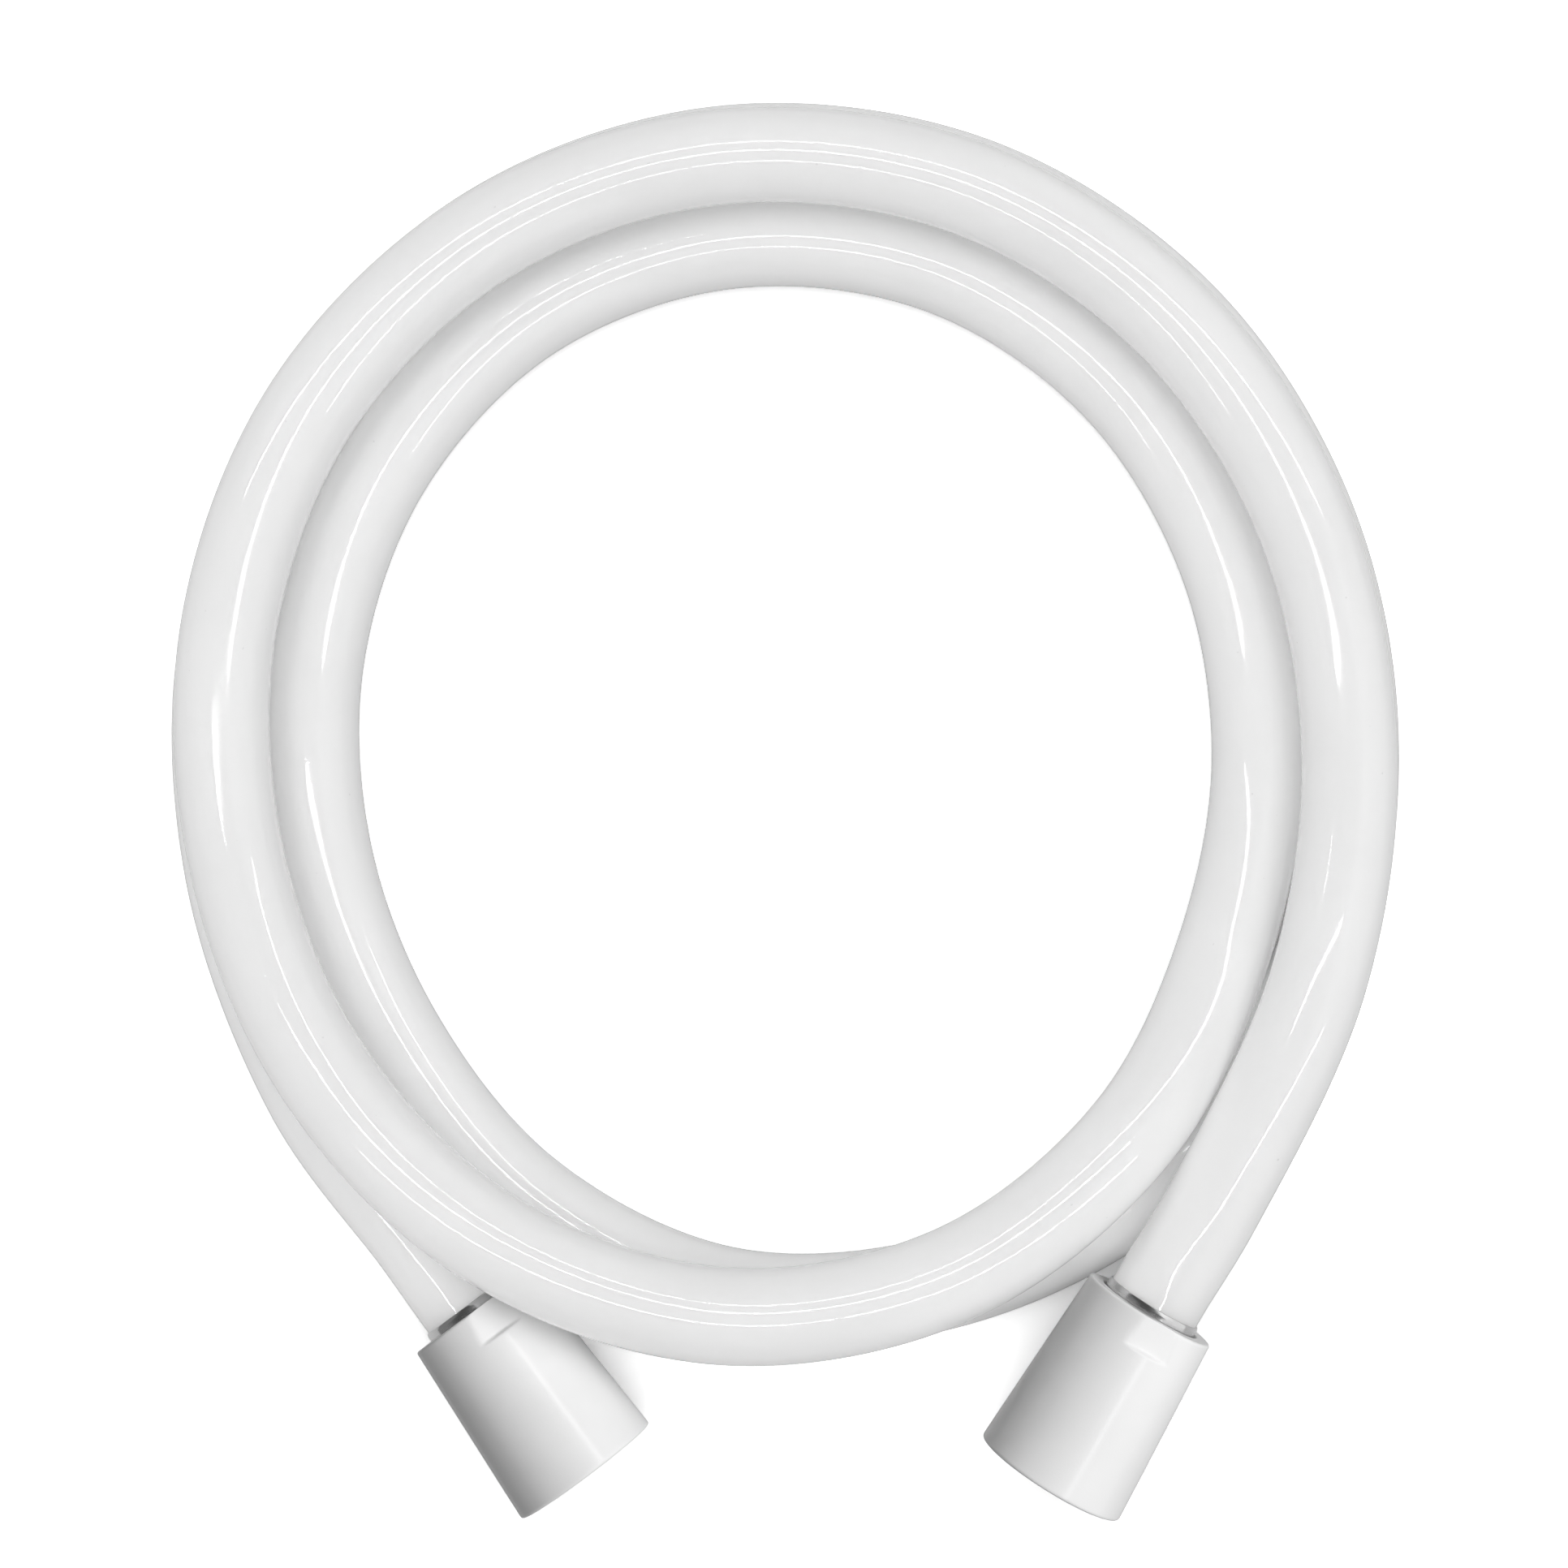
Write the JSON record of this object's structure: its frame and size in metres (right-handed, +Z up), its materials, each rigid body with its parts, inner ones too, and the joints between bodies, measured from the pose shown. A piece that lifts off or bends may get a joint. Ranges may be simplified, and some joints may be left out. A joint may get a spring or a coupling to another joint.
{
  "type": "shower hose",
  "caption": "Smooth flexible shower hose laid in flat coils, with a white conical swivel nut, crimped steel ferrule and rubber washer on each end.",
  "frame": {"origin": "on the floor, under the middle of the box round the two end fittings; the coil lies behind them", "axes": "+Z up off the floor, +X from nut A's side to nut B's side, +Y from the fittings toward the coil"},
  "size_m": [0.1922, 0.2213, 0.0343],
  "materials": {
    "hose_grey": "smooth pearl grey plastic sleeve with a soft sheen",
    "nut_white": "glossy white moulded plastic",
    "steel": "bright rolled steel",
    "brass": "machined brass",
    "washer_rubber": "matt black rubber"
  },
  "bodies": {
    "hose_body": {"hose": "hose_grey", "insert_a": "brass", "insert_b": "brass", "ferrule_a": "steel", "ferrule_b": "steel"},
    "nut_a_body": {"nut_a": "nut_white", "washer_a": "washer_rubber"},
    "nut_b_body": {"nut_b": "nut_white", "washer_b": "washer_rubber"}
  },
  "joints": [
    {"name": "nut_a_spin", "type": "hinge", "parent": "hose_body", "child": "nut_a_body", "pos_m": [-0.0344, -0.01167, 0.012], "axis": [0.5906, -0.807, 0], "continuous": true},
    {"name": "nut_b_spin", "type": "hinge", "parent": "hose_body", "child": "nut_b_body", "pos_m": [0.0362, -0.01227, 0.01453], "axis": [-0.5063, -0.856, -0.1045], "continuous": true}
  ]
}
